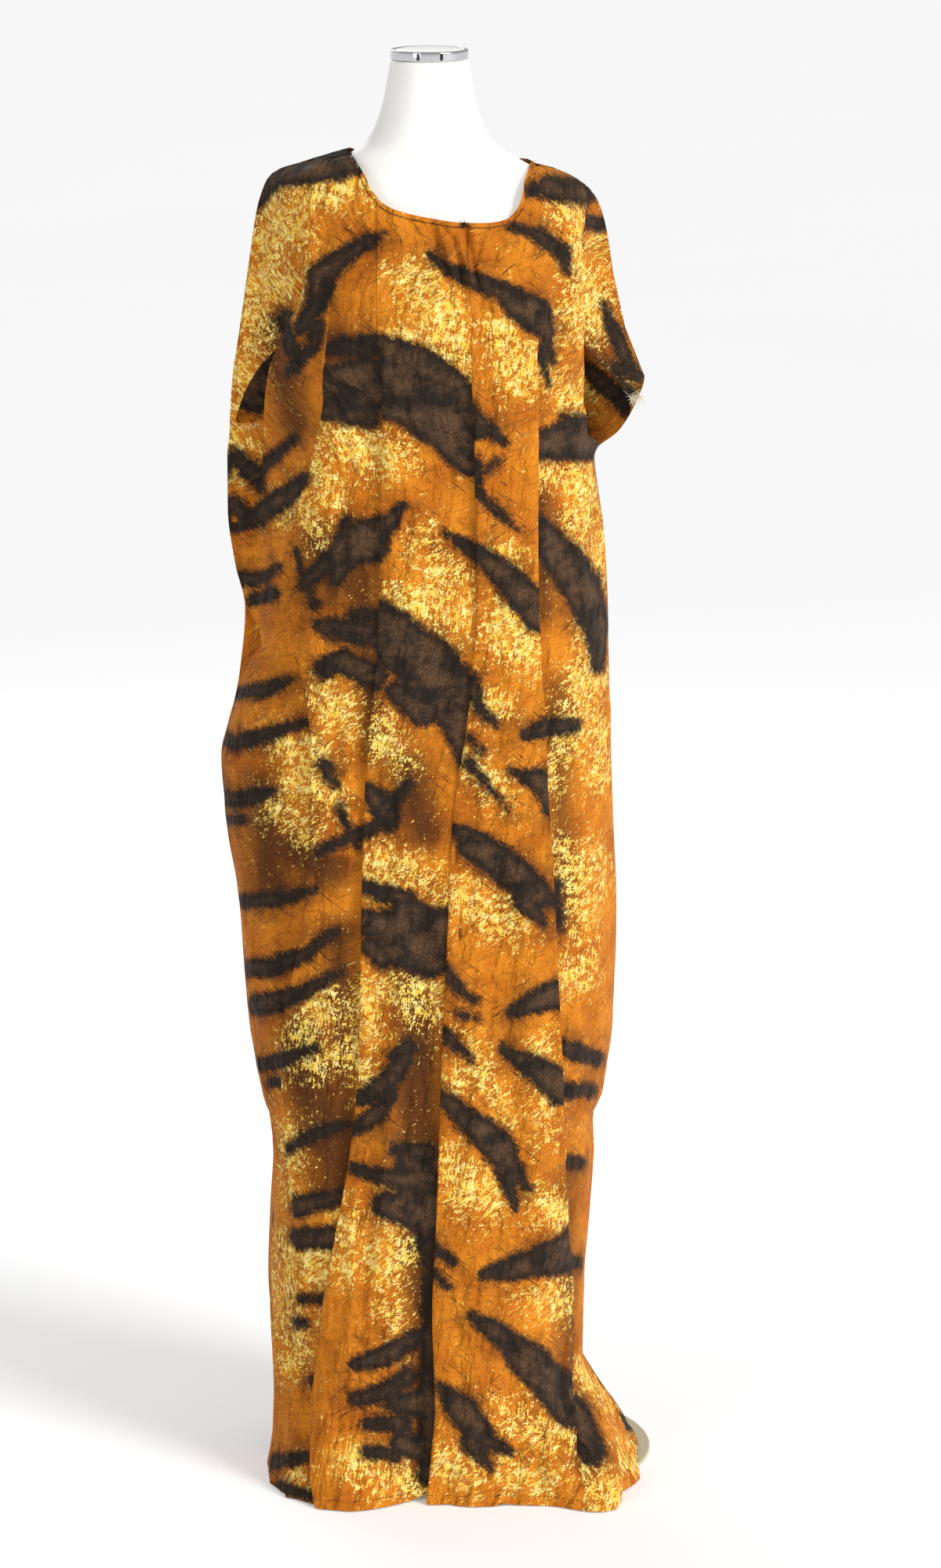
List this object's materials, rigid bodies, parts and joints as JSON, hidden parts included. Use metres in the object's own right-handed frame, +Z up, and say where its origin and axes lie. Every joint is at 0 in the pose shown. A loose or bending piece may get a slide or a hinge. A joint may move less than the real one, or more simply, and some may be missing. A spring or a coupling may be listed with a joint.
{
  "type": "bati dress on a dress form",
  "caption": "Loose ankle-length dress with wide sleeves and an animal-print cloth, standing on a limbless dress form with a round base plate.",
  "frame": {"origin": "on the floor, straight below the middle of the form's neck", "axes": "+Z up from the floor, +X to the viewer's right as the front is seen, +Y from the front of the dress to its back"},
  "size_m": [0.5037, 0.4434, 1.662],
  "materials": {
    "printed_cloth": "matte",
    "form_skin": "satin",
    "chrome": "polished",
    "cap_white": "satin",
    "plate_metal": "satin"
  },
  "bodies": {
    "root": {"front_panel": "printed_cloth", "back_panel": "printed_cloth", "form_body": "form_skin", "neck_band": "chrome", "neck_cap": "cap_white", "base_plate": "plate_metal", "pole_socket": "plate_metal", "pole": "chrome", "form_flange": "plate_metal"}
  },
  "joints": []
}
